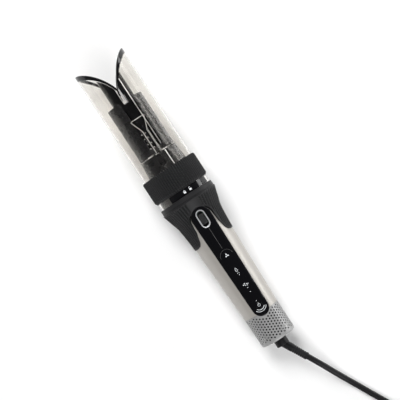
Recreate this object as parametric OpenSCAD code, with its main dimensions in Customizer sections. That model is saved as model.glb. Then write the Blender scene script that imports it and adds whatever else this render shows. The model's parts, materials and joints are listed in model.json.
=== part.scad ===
// Automatic hair curler lying at rest on a table, control panel up, tip toward +Y.
// Every module below is drawn upright: the tool's axis is Z, its front faces -Y and
// z = 0 is the bottom of the intake cap. lay() tips the tool over onto the table.

/* [Handle] */
// Radius of the handle where it meets the intake cap
handle_r_low = 19; // [18:0.5:20]
// Radius of the handle under the grip collar
handle_r_high = 21.5; // [21:0.1:21.5]
// Height where the handle stops widening
handle_taper_top = 110; // [90:5:115]
// Top of the handle sleeve, inside the grip collar
handle_top = 158; // [156:1:159]
// Wall of the handle sleeve
handle_wall = 1.6; // [1.2:0.1:1.6]

/* [Control panel] */
// Half width of the glossy panel at its rounded top
panel_r_top = 10.65; // [10:0.05:11]
// Half width of the glossy panel at its rounded bottom
panel_r_low = 8.75; // [8.5:0.05:9]
// Lowest point of the panel
panel_low = 28.4; // [28:0.1:29]
// Highest point of the panel
panel_high = 153.3; // [152:0.1:153.5]
// Thickness of the panel
panel_t = 1.5; // [1.2:0.1:1.5]
// Centre height of the direction switch
switch_z = 141; // [140:0.5:142]
// Travel of the direction switch each way
switch_travel = 2; // [1:0.5:2]
// Centre height of the power button
button_z = 39.7; // [39:0.1:41]
// Radius of the power button
button_r = 3.4; // [3:0.1:3.6]

/* [Intake cap] */
// Height of the perforated cap
cap_h = 32; // [30:1:32]
// Radius of the rounded bottom edge of the cap
cap_round = 1.5; // [1:0.1:2]
// Wall of the cap
cap_wall = 1.4; // [1.2:0.1:1.4]
// Radius of the round hole in the bottom of the cap
cap_hole_r = 8.6; // [8:0.1:9]

/* [Grip collar] */
// Outer radius of the grip collar at its top rim
collar_r = 30.35; // [30:0.05:30.5]
// Height of the grip collar's top rim
collar_z = 164; // [163.5:0.5:164]
// Height of the straight band below that rim
collar_rim = 1; // [0.8:0.1:1.2]
// Lowest point of the collar's two side lobes
lobe_low = 117.7; // [117:0.1:119]

/* [Guard] */
// Outer radius of the clear guard tube
guard_r = 28; // [27.9:0.05:28]
// Wall of the clear guard tube
guard_wall = 1.6; // [1.2:0.1:1.6]
// Bottom of the guard tube, inside the collar lip
guard_low = 166; // [165:0.5:167]
// Height of the two tips of the guard
guard_high = 328; // [325:0.5:330]
// Radius of the curved lips of the tulip mouth
lip_r = 66.5; // [66:0.1:67]
// Distance of the lips' centres from the axis
lip_x = 63.5; // [63.4:0.1:64]
// Height of the lips' centres
lip_z = 271.9; // [271:0.1:273]
// Radius of the inner edge of the dark trim along the lips
trim_r = 52.6; // [52:0.1:53]
// Distance of the trim arcs' centres from the axis
trim_x = 52.6; // [52:0.1:53]
// Height of the trim arcs' centres
trim_z = 276.1; // [276:0.1:277]
// Width of the slit below the mouth
slit_w = 3.8; // [3.4:0.1:4]
// Bottom of the slit
slit_low = 276; // [275:0.5:280]
// Lowest point of the dark trim, on the slit's edges
trim_low = 285.7; // [284:0.1:288]
// Width of the trim on the slit's edges
trim_w = 0.8; // [0.6:0.1:1]
// Travel of the guard when it is pulled off
guard_travel = 140; // [100:5:160]

/* [Barrel] */
// Outer radius of the rotating barrel
barrel_r = 19.65; // [19:0.05:19.7]
// Bottom of the barrel
barrel_low = 221.2; // [221.2:0.1:222]
// Top of the barrel
barrel_high = 281; // [278:0.5:282]
// Width of the slot down the front of the barrel
barrel_slot = 15; // [12:0.5:16]
// Rest angle of the barrel's slot about the axis
barrel_turn = 4; // [0:1:10]
// Radius of the slotted column in the barrel
column_r = 12.5; // [12:0.1:12.6]
// Width of the slot through the column
column_slot = 4.4; // [2.2:0.1:5]
// How far the column's top lies below the lips
column_drop = 0.7; // [0.5:0.1:1.5]

/* [Gears] */
// Teeth of the gear on the spindle
spindle_teeth = 24; // [24]
// Teeth of the pinion on the curl motor
pinion_teeth = 10; // [10]
// Gear module
gear_module = 1; // [1]

/* [Cord] */
// Diameter of the cord
cord_d = 6; // [5.5:0.1:6.5]
// Radius of the middle of the coil's bundle of turns
coil_r = 33; // [32:0.5:34]
// Width of the coil's bundle of turns
coil_w = 18; // [18:0.5:19]
// Height of the coil's bundle of turns
coil_h = 17; // [17:0.5:18]
// Angle of the strain relief away from the axis
relief_angle = 27; // [20:1:30]
// Length of the strain relief
relief_l = 25; // [22:1:26]

/* [Plug] */
// Radius of each plug pin
pin_r = 2.4; // [2:0.1:2.4]
// Distance between the two plug pins
pin_gap = 19; // [19]
// Length of each plug pin outside the body
pin_l = 19; // [17:1:19]

/* [Hidden] */
$fn = 64;
EPS = 0.02;
RUN = 0.05;

// The tool rests on the cap's bottom edge and on the collar's rim
tilt = atan((collar_r - handle_r_low) / (collar_z - collar_rim - cap_round));
rest_height = (handle_r_low - cap_round) * cos(tilt) + cap_round * (1 - sin(tilt));
// The origin is under the middle of the tool's length, measured from the cap
middle = 147.16;

// Outlines as [radius, height] pairs
handle_outline = [[handle_r_low, cap_h + 0.2], [handle_r_high, handle_taper_top],
    [handle_r_high, handle_top]];
grip_outline = [[22.4, lobe_low], [22.5, 119], [22.8, 125], [23.3, 131], [23.9, 138],
    [24.9, 145], [26.8, 151], [28.8, 158], [collar_r, collar_z - collar_rim],
    [collar_r, collar_z]];
panel_outline_r = [[19.3, panel_low - 1], [21.85, handle_taper_top], [22.6, 125],
    [23.7, 138], [24.6, 145], [26.1, 151], [26.9, panel_high + 1]];
// One side of the arch between the collar's lobes, as [half width, height]
arch = [[9.5, 150], [11.8, 147.5], [13, 144], [13.6, 138], [14, 131], [14.6, 126],
    [15.5, 122], [17.2, 119.2], [20, 117.9], [26, 117]];

// Guard and what lies inside it
guard_in = guard_r - guard_wall;
socket_r = guard_in - 0.5;
socket_low = handle_top + 2.5;
socket_high = 200.2;
plate_low = 174.3;
plate_t = 1.5;
gear_low = 176.6;
gear_t = 6;
shaft_r = 4;
pinion_shaft_r = 1;
gear_gap = gear_module * (spindle_teeth + pinion_teeth) / 2;
cone_low_r = 21.8;
cone_high_r = 20;
cone_high = 219;
cone_slot_x = -2.3;
flange_t = 1.6;
flange_r = 20.6;
guide_r = 21.5;
guide_t = 1.3;

// Air path
cap_floor = 2;
duct_r = 14;
duct_wall = 1.2;
duct_low = 34;
fan_low = 37;
fan_t = 8.5;
fan_shaft_r = 1.2;
motor_r = 10.5;
motor_low = 50;
motor_h = 30;

// Switch plane: the panel leans outward around the switch
switch_r = 24.15;
switch_tilt = 8.5;

// Swivel and cord exit, in the upright frame
swivel_r = 6.8;
neck_r = 5.25;
relief_from = [2, 0, -9.2];
relief_r_big = 4.25;
relief_r_small = 3.75;

// The cord's route on the table, from the strain relief to the coil
lead_route = [[13.6, -178.7, 16.6], [18, -187.3, 15.8], [22.5, -196, 13.2], [27, -205, 9.4],
    [31.6, -214, 5.8], [36, -222.7, 3.7], [40.5, -231.3, 3], [46, -242.3, 3], [52, -254, 3],
    [58, -265.8, 3], [64, -277.6, 3], [69.7, -288.5, 3], [77.7, -304.3, 3]];
coil_at = [43, -322, 0];
// The tail from the coil to the plug
tail_route = [[43, -361, 3], [35, -361, 3], [27, -360.6, 3.4], [19, -360, 5.2],
    [11, -359.4, 8.2], [3, -359, 10.8], [-4, -359, 12]];
plug_at = [-3, -359, 12];
plug_r = 12;
plug_w = 35;
plug_l = 20;
plug_back = 16;

// Places a part drawn upright onto the table
module lay() {
    translate([0, -middle, rest_height]) rotate([tilt - 90, 0, 0]) children();
}

// Tube between two heights
module ring(outer, inner, low, high) {
    translate([0, 0, low]) difference() {
        cylinder(r = outer, h = high - low);
        translate([0, 0, -1]) cylinder(r = inner, h = high - low + 2);
    }
}

// Solid of revolution below an outline of [radius, height] pairs
module turned(outline) {
    last = len(outline) - 1;
    rotate_extrude() polygon(concat([[0, outline[0][1]]], outline, [[0, outline[last][1]]]));
}

// Outline of radii reduced by a wall
function inset(outline, wall) = [for (p = outline) [p[0] - wall, p[1]]];

// Front-view shape pushed through the front half of the tool
module through_front(depth = 40) {
    rotate([90, 0, 0]) linear_extrude(depth) children();
}

// Front-view shape pushed through the whole tool
module through_all() {
    translate([0, 40, 0]) rotate([90, 0, 0]) linear_extrude(80) children();
}

// Slot with round ends standing upright
module pill(width, height) {
    r = width / 2;
    square([width, height - width], center = true);
    translate([0, height / 2 - r]) circle(r);
    translate([0, r - height / 2]) circle(r);
}

// Front-view outline of the control panel, widened by grow
module panel_shape(grow) {
    top = panel_high - panel_r_top;
    low = panel_low + panel_r_low;
    translate([0, top]) circle(panel_r_top + grow);
    translate([0, low]) circle(panel_r_low + grow);
    polygon([[-panel_r_top - grow, top], [-panel_r_low - grow, low],
        [panel_r_low + grow, low], [panel_r_top + grow, top]]);
}

// Front-view outline of the arch between the collar's lobes
module arch_shape() {
    mirrored = [for (i = [len(arch) - 1 : -1 : 0]) [-arch[i][0], arch[i][1]]];
    polygon(concat(arch, [[26, 100], [-26, 100]], mirrored));
}

// Front-view shape between two mirrored arcs, opening upward
module tulip(r, x, z) {
    difference() {
        translate([-35, z]) square([70, 75]);
        translate([x, z]) circle(r);
        translate([-x, z]) circle(r);
    }
}

// Front-view shape of a slit with a round bottom, up into the mouth
module slit_shape(width, low) {
    translate([-width / 2, low + width / 2]) square([width, lip_z + 22 - low]);
    translate([0, low + width / 2]) circle(width / 2);
}

// Spur gear with straight-sided teeth and a centre bore, one tooth on +Y
module spur(teeth, bore, height) {
    pitch_r = gear_module * teeth / 2;
    tip_r = pitch_r + 0.85 * gear_module;
    root_r = pitch_r - 1.15 * gear_module;
    step = 360 / teeth;
    difference() {
        linear_extrude(height) polygon([for (i = [0 : teeth - 1]) for (c = [
            [root_r, -0.3], [tip_r, -0.12], [tip_r, 0.12], [root_r, 0.3]])
            [c[0] * sin((i + c[1]) * step), c[0] * cos((i + c[1]) * step)]]);
        translate([0, 0, -1]) cylinder(r = bore, h = height + 2);
    }
}

// Tube swept along a route of points with a fixed number of sides
function unit(v) = v / norm(v);
function way(route, i) = unit(route[min(i + 1, len(route) - 1)] - route[max(i - 1, 0)]);
module swept(route, radius, sides) {
    n = len(route);
    rings = [for (i = [0 : n - 1])
        let (d = way(route, i), u = unit(cross(d, [0, 0, 1])), v = cross(u, d))
        for (k = [0 : sides - 1])
            route[i] + radius * (u * cos(360 * k / sides) + v * sin(360 * k / sides))];
    walls = [for (i = [0 : n - 2]) for (k = [0 : sides - 1])
        [i * sides + k, i * sides + (k + 1) % sides,
            (i + 1) * sides + (k + 1) % sides, (i + 1) * sides + k]];
    first = [for (k = [sides - 1 : -1 : 0]) k];
    last = [for (k = [0 : sides - 1]) (n - 1) * sides + k];
    polyhedron(points = rings, faces = concat([first], walls, [last]));
}

// Handle

module handle_sleeve() {
    color([0.78, 0.76, 0.72]) lay() difference() {
        turned(handle_outline);
        translate([0, 0, -EPS]) turned(concat(
            [[handle_r_low - handle_wall, cap_h]], inset(handle_outline, handle_wall)));
        translate([0, 0, handle_top - 2]) cylinder(r = handle_r_high - handle_wall, h = 4);
        through_front() panel_shape(0.1);
    }
}

module grip_collar() {
    color([0.07, 0.07, 0.07]) lay() difference() {
        turned(grip_outline);
        translate([0, 0, lobe_low - 1])
            cylinder(r = handle_r_high + 0.05, h = socket_low - lobe_low + 1);
        translate([0, 0, socket_low]) cylinder(r = socket_r + 0.1, h = 10);
        through_front() panel_shape(0.15);
        through_all() arch_shape();
    }
}

module collar_lip() {
    color([0.09, 0.09, 0.09]) lay() ring(29.6, guard_r + 0.3, collar_z, 169.3);
}

module control_panel() {
    color([0.03, 0.03, 0.035]) lay() difference() {
        intersection() {
            turned(panel_outline_r);
            through_front() panel_shape(0);
        }
        translate([0, 0, -EPS]) turned(inset(panel_outline_r, panel_t));
        translate([0, 0, panel_high]) cylinder(r = 25.2, h = 3);
        translate([0, 0, switch_z]) through_front() pill(9.7, 19.7);
        translate([0, 0, button_z]) through_front() circle(button_r + 0.2);
    }
}

module at_switch() {
    translate([0, -switch_r, switch_z]) rotate([switch_tilt, 0, 0]) rotate([90, 0, 0])
        children();
}

module switch_bezel() {
    color([0.72, 0.73, 0.74]) lay() at_switch() difference() {
        translate([0, 0, -1.8]) linear_extrude(2.2) pill(9.6, 19.6);
        translate([0, 0, -3]) linear_extrude(5) pill(7.3, 17.3);
    }
}

module switch_slider() {
    color([0.16, 0.16, 0.17]) lay() at_switch() {
        translate([0, 0, -2.6]) linear_extrude(2.4) pill(6.7, 12.6);
        for (i = [-3 : 3])
            translate([-2.8, 1.5 * i - 0.4, -0.3]) cube([5.6, 0.8, 1.1]);
        translate([-1, -1, -6.2]) cube([2, 2, 4]);
    }
}

module power_button() {
    color([0.2, 0.2, 0.21]) lay() translate([0, 0, button_z]) rotate([90, 0, 0]) {
        translate([0, 0, 17.5]) cylinder(r = button_r, h = 2.1);
        translate([0, 0, 17]) cylinder(r = 1.2, h = 1);
    }
}

module control_board() {
    color([0.1, 0.4, 0.2]) lay() translate([-6.8, -15.9, 36.6]) cube([13.6, 1.2, 111]);
}

module board_parts() {
    color([0.15, 0.15, 0.15]) lay() {
        translate([-3, -16.6, 47]) cube([6, 0.7, 6]);
        translate([-4, -16.6, 66]) cube([8, 0.7, 8]);
        translate([-2, -16.7, 92]) cube([4, 0.8, 10]);
        translate([-3.2, -17.2, 133]) cube([6.4, 1.3, 14]);
    }
}

module indicator_leds() {
    color([0.9, 0.95, 1]) lay() for (z = [44.7, 56, 76, 106])
        translate([0, -15.9, z]) rotate([90, 0, 0]) cylinder(r = 0.9, h = 1.2);
}

module chassis_tube() {
    color([0.6, 0.6, 0.58]) lay()
        ring(duct_r, duct_r - duct_wall, duct_low, socket_low + 2);
}

module intake_frame() {
    color([0.2, 0.2, 0.21]) lay() difference() {
        union() {
            ring(16.6, 15.2, 9, 36);
            ring(8, neck_r + RUN, 4, 14);
            for (turn = [30, 150, 270]) rotate(turn)
                translate([7.6, -1, 9]) cube([8, 2, 5]);
            ring(15.3, duct_r + 0.05, 33.8, 36);
        }
        translate([0, 0, 3]) cylinder(r = neck_r + RUN, h = 12);
    }
}

module intake_filter() {
    color([0.45, 0.45, 0.45]) lay() difference() {
        ring(17.25, 16.7, 9, 31.5);
        through_front() panel_shape(0.6);
    }
}

module fan_motor() {
    color([0.62, 0.63, 0.65]) lay() difference() {
        union() {
            translate([0, 0, motor_low]) cylinder(r = motor_r, h = motor_h);
            translate([0, 0, motor_low - 1.5]) cylinder(r = 3.5, h = 3);
        }
        translate([0, 0, motor_low - 3]) cylinder(r = fan_shaft_r + RUN, h = 14);
    }
}

module motor_mount() {
    color([0.3, 0.3, 0.32]) lay() {
        ring(motor_r + 0.9, motor_r + EPS, 56, 74);
        for (turn = [45 : 90 : 315]) rotate(turn)
            translate([motor_r + 0.5, -0.6, 56]) cube([1.7, 1.2, 18]);
    }
}

module impeller() {
    color([0.85, 0.85, 0.83]) lay() difference() {
        union() {
            translate([0, 0, fan_low]) cylinder(r = 4, h = fan_t);
            intersection() {
                translate([0, 0, fan_low]) cylinder(r = 12.3, h = fan_t);
                for (blade = [0 : 6]) rotate(360 * blade / 7)
                    translate([7.5, 0, fan_low + fan_t / 2]) rotate([40, 0, 0])
                        cube([10.5, 1, 9], center = true);
            }
        }
        translate([0, 0, fan_low - 1]) cylinder(r = fan_shaft_r, h = fan_t + 2);
    }
}

module fan_shaft() {
    color([0.75, 0.75, 0.77]) lay()
        translate([0, 0, fan_low - 0.5]) cylinder(r = fan_shaft_r, h = 22);
}

module heater_frame() {
    color([0.8, 0.72, 0.55]) lay() for (turn = [45, 135]) rotate(turn)
        translate([-12.2, -0.5, 90]) cube([24.4, 1, 50]);
}

module heater_coil() {
    color([0.7, 0.68, 0.65]) lay() {
        for (i = [0 : 10]) ring(9, 8, 94 + 4 * i, 95 + 4 * i);
        translate([8.1, -0.5, 94.2]) cube([0.8, 1, 40.4]);
    }
}

module thermostat() {
    color([0.75, 0.72, 0.6]) lay() translate([-3, 8, 84]) cube([6, 3, 5.5]);
}

module thermal_fuse() {
    color([0.85, 0.8, 0.7]) lay() translate([-6, -10, 84]) rotate([0, 90, 0])
        cylinder(r = 1.5, h = 12);
}

// Drive and base

module guard_socket() {
    color([0.5, 0.5, 0.49]) lay() ring(socket_r, socket_r - 1.6, socket_low, socket_high);
    color([0.5, 0.5, 0.49]) lay() difference() {
        translate([0, 0, socket_low]) cylinder(r = socket_r - 1.6 + EPS, h = 2);
        translate([0, 0, socket_low - 1]) cylinder(r = duct_r + 0.05, h = 4);
    }
    color([0.5, 0.5, 0.49]) lay() for (turn = [30, 150, 270]) rotate(turn)
        translate([20, 0, socket_low + 1]) difference() {
            cylinder(r = 3, h = plate_low - socket_low - 1);
            translate([0, 0, 6]) cylinder(r = 1.2, h = 10);
        }
}

module gearbox_plate() {
    color([0.7, 0.71, 0.72]) lay() difference() {
        translate([0, 0, plate_low]) cylinder(r = socket_r - 1.7, h = plate_t);
        translate([0, 0, plate_low - 1]) cylinder(r = shaft_r + RUN, h = 4);
        translate([0, gear_gap, plate_low - 1]) cylinder(r = pinion_shaft_r + RUN, h = 4);
        for (turn = [30, 150, 270]) rotate(turn)
            translate([20, 0, plate_low - 1]) cylinder(r = 1.3, h = 4);
    }
}

module plate_screws() {
    color([0.8, 0.8, 0.82]) lay() for (turn = [30, 150, 270]) rotate(turn)
        translate([20, 0, plate_low + plate_t]) {
            cylinder(r = 2.2, h = 1.6);
            translate([0, 0, -7]) cylinder(r = 1.15, h = 7.5);
        }
}

module curl_motor() {
    color([0.62, 0.63, 0.65]) lay() translate([0, gear_gap, 163]) difference() {
        cylinder(r = 6, h = plate_low - 163);
        translate([0, 0, 5]) cylinder(r = pinion_shaft_r + RUN, h = 10);
    }
}

module drive_pinion() {
    color([0.8, 0.66, 0.3]) lay() translate([0, gear_gap, 0]) {
        translate([0, 0, gear_low]) rotate(180 / pinion_teeth)
            spur(pinion_teeth, pinion_shaft_r / 2, gear_t);
        translate([0, 0, 168.5]) cylinder(r = pinion_shaft_r, h = gear_low + gear_t - 168);
    }
}

module base_cone() {
    color([0.1, 0.1, 0.105]) lay() difference() {
        union() {
            translate([0, 0, socket_high]) cylinder(r = socket_r, h = 1.2);
            translate([0, 0, socket_high]) cylinder(r1 = cone_low_r, r2 = cone_high_r,
                h = cone_high - socket_high);
        }
        translate([0, 0, socket_high - 1]) cylinder(r1 = cone_low_r - 1.6,
            r2 = cone_high_r - 1.8, h = cone_high - socket_high - 1.2);
        translate([0, 0, cone_high - 4]) cylinder(r = 8 + EPS, h = 6);
        translate([cone_slot_x, 0, 213.2]) through_front() square([5.8, 10.6], center = true);
        translate([cone_slot_x, 0, 208.4]) through_front() circle(2.9);
    }
}

module spindle_bearing() {
    color([0.78, 0.6, 0.35]) lay() ring(8, shaft_r + RUN, 213.5, cone_high);
}

module hair_guide() {
    color([0.85, 0.87, 0.88, 0.5]) lay() {
        ring(flange_r, 8.5, cone_high, cone_high + flange_t);
        guide_strip();
    }
}

// The strip with its channel, funnel and comb teeth, bent to a cylinder
module guide_strip() {
    intersection() {
        ring(guide_r, guide_r - guide_t, cone_high, 262);
        through_front() {
            for (side = [-1, 1]) {
                polygon([[side * 2, 219], [side * 3.6, 219], [side * 3.6, 245],
                    [side * 8.5, 259.2], [side * 6.9, 259.2], [side * 2, 245.5]]);
                for (z = [226, 231, 237, 242])
                    translate([side > 0 ? 3.5 : -6, z]) square([2.5, 1.2]);
            }
        }
    }
}

// Guard that pulls off

module guard_tube() {
    color([0.82, 0.8, 0.76, 0.4]) lay() difference() {
        ring(guard_r, guard_in, guard_low, guard_high);
        through_all() tulip(trim_r, trim_x, trim_z);
        through_all() slit_shape(slit_w, slit_low);
    }
}

module lip_trim() {
    color([0.05, 0.05, 0.05]) lay() intersection() {
        ring(guard_r, guard_in, trim_low, guard_high);
        through_all() difference() {
            union() {
                tulip(trim_r, trim_x, trim_z);
                slit_shape(slit_w, slit_low);
            }
            tulip(lip_r, lip_x, lip_z);
            slit_shape(slit_w - 2 * trim_w, slit_low);
        }
    }
}

module lock_mark_band() {
    color([0.06, 0.06, 0.06]) lay() intersection() {
        ring(guard_r + 0.15, guard_r, 169.6, 175.9);
        translate([4, 0, 172]) through_front() square([41, 20], center = true);
    }
}

module lock_ring_core() {
    color([0.25, 0.25, 0.26]) lay() ring(28.9, guard_r + RUN, 177, 201);
}

module lock_ring() {
    color([0.07, 0.07, 0.07]) lay() difference() {
        rotate_extrude() polygon([[guard_r + 0.1, 176.3], [28.6, 176.3], [collar_r, 178.6],
            [collar_r, 200.7], [29.4, 201.7], [guard_r + 0.1, 201.7]]);
        translate([0, 0, 177]) cylinder(r = 28.9, h = 24);
    }
}

// Rotating barrel

module barrel_half(side) {
    lay() rotate(barrel_turn) difference() {
        ring(barrel_r, barrel_r - 1.75, barrel_low, barrel_high);
        translate([side > 0 ? -39.95 : -0.05, -40, 200]) cube([40, 80, 100]);
        translate([-barrel_slot / 2, -40, 226]) cube([barrel_slot, 40, 100]);
    }
}

module barrel_left() {
    color([0.1, 0.1, 0.11]) barrel_half(-1);
}

module barrel_right() {
    color([0.1, 0.1, 0.11]) barrel_half(1);
}

module barrel_end_ring() {
    color([0.13, 0.13, 0.14]) lay() rotate(barrel_turn) difference() {
        ring(barrel_r - 1.8, column_r + 0.05, 278.6, 280.6);
        translate([-barrel_slot / 2, -40, 270]) cube([barrel_slot, 40, 20]);
    }
}

module spindle_column() {
    color([0.04, 0.04, 0.045]) lay() difference() {
        translate([0, 0, 224]) cylinder(r = column_r, h = guard_high - 224);
        translate([0, 0, 223]) cylinder(r = column_r - 1.8, h = slit_low - 225);
        through_all() tulip(lip_r - column_drop, lip_x, lip_z);
        through_all() translate([-column_slot / 2, slit_low + 1])
            square([column_slot, 60]);
    }
}

module spindle_hub() {
    color([0.3, 0.3, 0.31]) lay() {
        translate([0, 0, 221.4]) cylinder(r = barrel_r - 1.8, h = 2.6);
        translate([0, 0, 223]) cylinder(r = column_r - 1.85, h = 3);
        translate([0, 0, plate_low + 0.3]) cylinder(r = shaft_r, h = 48);
    }
}

module spindle_gear() {
    color([0.85, 0.83, 0.78]) lay() translate([0, 0, gear_low])
        spur(spindle_teeth, shaft_r + EPS, gear_t);
}

// Intake cap, swivel and cord

module intake_cap() {
    color([0.66, 0.66, 0.66]) lay() difference() {
        translate([0, 0, cap_floor]) cylinder(r = handle_r_low, h = cap_h - cap_floor);
        translate([0, 0, -1]) cylinder(r = handle_r_low - cap_wall, h = cap_h + 2);
        through_front() panel_shape(0.35);
    }
}

// Bottom of the cap, with the hole for the swivel
module cap_base() {
    color([0.66, 0.66, 0.66]) lay() difference() {
        turned([[handle_r_low - cap_round, 0], [handle_r_low - 0.45, 0.45],
            [handle_r_low, cap_round], [handle_r_low, cap_floor]]);
        translate([0, 0, -1]) cylinder(r = cap_hole_r, h = 5);
    }
}

module swivel_body() {
    color([0.06, 0.06, 0.06]) lay() {
        translate([0, 0, -8.5]) cylinder(r = swivel_r, h = 12);
        translate([0, 0, 3]) cylinder(r = neck_r, h = 12.5);
    }
}

module swivel_clip() {
    color([0.75, 0.75, 0.77]) lay() ring(7, neck_r + EPS, 14.2, 15.2);
}

module strain_relief() {
    color([0.05, 0.05, 0.05]) lay() difference() {
        translate(relief_from) rotate([0, 180 - relief_angle, 0]) translate([0, 0, -4])
            cylinder(r1 = relief_r_big, r2 = relief_r_small, h = relief_l + 4);
        translate([0, 0, -8.5]) cylinder(r = 30, h = 40);
    }
}

module cord_lead() {
    color([0.05, 0.05, 0.05]) swept(lead_route, cord_d / 2, 10);
}

module cord_coil() {
    color([0.05, 0.05, 0.05]) translate(coil_at) rotate_extrude()
        translate([coil_r - coil_w / 2, 0]) square([coil_w, coil_h]);
}

module cord_tail() {
    color([0.05, 0.05, 0.05]) swept(tail_route, cord_d / 2, 10);
}

// Strap wrapped once round the coil's bundle on the side away from the plug
module coil_tie() {
    coil_in = coil_r - coil_w / 2;
    coil_out = coil_r + coil_w / 2;
    color([0.03, 0.03, 0.03]) translate(coil_at) difference() {
        intersection() {
            ring(coil_out + 1, coil_in - 1, 0, coil_h + 1);
            rotate(20) translate([coil_r, 0, coil_h / 2]) cube([coil_w + 8, 9, 30], center = true);
        }
        ring(coil_out + EPS, coil_in - EPS, -1, coil_h + EPS);
    }
}

module plug_body() {
    color([0.05, 0.05, 0.05]) translate(plug_at) rotate([0, -90, 0]) {
        translate([0, 0, plug_back]) linear_extrude(plug_l) rotate(90) pill_flat();
        cylinder(r1 = 4, r2 = plug_r - 1, h = plug_back + 1);
    }
}

// Face of the plug: a flat-sided shape with round ends
module pill_flat() {
    square([plug_w - 2 * plug_r, 2 * plug_r], center = true);
    for (side = [-1, 1]) translate([side * (plug_w / 2 - plug_r), 0]) circle(plug_r);
}

module plug_pins() {
    color([0.8, 0.8, 0.8]) translate(plug_at) rotate([0, -90, 0])
        for (side = [-1, 1]) translate([0, side * pin_gap / 2, plug_back + plug_l])
            cylinder(r = pin_r, h = pin_l);
}

handle_sleeve();
grip_collar();
collar_lip();
control_panel();
switch_bezel();
control_board();
board_parts();
indicator_leds();
chassis_tube();
intake_frame();
intake_filter();
fan_motor();
motor_mount();
heater_frame();
heater_coil();
thermostat();
thermal_fuse();
guard_socket();
gearbox_plate();
plate_screws();
curl_motor();
base_cone();
spindle_bearing();
hair_guide();
guard_tube();
lip_trim();
lock_mark_band();
lock_ring();
lock_ring_core();
barrel_left();
barrel_right();
barrel_end_ring();
spindle_column();
spindle_hub();
spindle_gear();
drive_pinion();
impeller();
fan_shaft();
switch_slider();
power_button();
intake_cap();
cap_base();
swivel_body();
swivel_clip();
strain_relief();
cord_lead();
cord_coil();
cord_tail();
coil_tie();
plug_body();
plug_pins();
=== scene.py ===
"""Automatic hair curler: detailed pieces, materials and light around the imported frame.

Pieces are drawn upright in millimetres, as the CAD modules are: the tool's axis is Z,
its front faces -Y and z = 0 is the bottom of the intake cap. laid() puts them on the table.
"""

import json
import math

import bmesh
import bpy
import numpy as np
from mathutils import Matrix, Vector
from mathutils.geometry import delaunay_2d_cdt


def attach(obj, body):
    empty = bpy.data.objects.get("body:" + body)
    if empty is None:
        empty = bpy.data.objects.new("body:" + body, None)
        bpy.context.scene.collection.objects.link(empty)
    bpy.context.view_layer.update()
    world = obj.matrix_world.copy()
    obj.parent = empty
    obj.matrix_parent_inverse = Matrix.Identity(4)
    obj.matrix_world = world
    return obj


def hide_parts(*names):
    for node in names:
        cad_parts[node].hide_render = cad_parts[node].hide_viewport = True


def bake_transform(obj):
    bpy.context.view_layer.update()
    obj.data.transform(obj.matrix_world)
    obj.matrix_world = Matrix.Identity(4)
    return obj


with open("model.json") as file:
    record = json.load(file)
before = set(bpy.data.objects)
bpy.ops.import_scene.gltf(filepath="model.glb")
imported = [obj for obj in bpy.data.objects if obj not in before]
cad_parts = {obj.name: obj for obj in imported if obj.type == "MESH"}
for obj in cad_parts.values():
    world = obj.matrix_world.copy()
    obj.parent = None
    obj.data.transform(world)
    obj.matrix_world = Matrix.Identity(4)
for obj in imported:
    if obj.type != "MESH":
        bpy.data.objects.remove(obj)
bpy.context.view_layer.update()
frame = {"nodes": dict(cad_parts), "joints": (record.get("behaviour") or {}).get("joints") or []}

MM = 0.001
JOINTS = {j["name"]: j for j in frame["joints"]}
AXIS = np.array(JOINTS["guard_lift"]["axis"])
AXIS = AXIS / np.linalg.norm(AXIS)
RING_Z = 190
CAP_POINT = np.array(JOINTS["lock_turn"]["pos_m"]) - RING_Z * MM * AXIS
TOOL = np.column_stack([[1, 0, 0], [0, AXIS[2], -AXIS[1]], AXIS])


def laid(points):
    """Upright millimetres to the row frame in metres."""
    return np.asarray(points, float) * MM @ TOOL.T + CAP_POINT


# Materials, one for each slot of the record, and those of the painted glints on the guide's edges
# and of the floor

WEAR_SCALE = 90


def finish(name, color, roughness, metallic=0.0, bump=None, **inputs):
    """A Principled material whose gloss varies a little from handling.

    bump is (scale, strength) of a fine noise on the surface.
    """
    material = bpy.data.materials.new(name)
    material.use_nodes = True
    nodes, links = material.node_tree.nodes, material.node_tree.links
    shader = nodes["Principled BSDF"]
    shader.inputs["Base Color"].default_value = (*color, 1)
    shader.inputs["Roughness"].default_value = roughness
    shader.inputs["Metallic"].default_value = metallic
    for key, value in inputs.items():
        shader.inputs[key.replace("_", " ")].default_value = value
    where = nodes.new("ShaderNodeTexCoord")
    if "Transmission_Weight" not in inputs:
        wear = nodes.new("ShaderNodeTexNoise")
        wear.inputs["Scale"].default_value = WEAR_SCALE
        wear.inputs["Detail"].default_value = 4
        spread = nodes.new("ShaderNodeMapRange")
        spread.inputs["From Min"].default_value = 0.3
        spread.inputs["From Max"].default_value = 0.7
        spread.inputs["To Min"].default_value = roughness * 0.95
        spread.inputs["To Max"].default_value = roughness * 1.08
        links.new(where.outputs["Object"], wear.inputs["Vector"])
        links.new(wear.outputs["Fac"], spread.inputs["Value"])
        links.new(spread.outputs["Result"], shader.inputs["Roughness"])
    if bump:
        noise = nodes.new("ShaderNodeTexNoise")
        noise.inputs["Scale"].default_value = bump[0]
        noise.inputs["Detail"].default_value = 3
        relief = nodes.new("ShaderNodeBump")
        relief.inputs["Strength"].default_value = bump[1]
        relief.inputs["Distance"].default_value = 0.0002
        links.new(where.outputs["Object"], noise.inputs["Vector"])
        links.new(noise.outputs["Fac"], relief.inputs["Height"])
        links.new(relief.outputs["Normal"], shader.inputs["Normal"])
    return material


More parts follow.
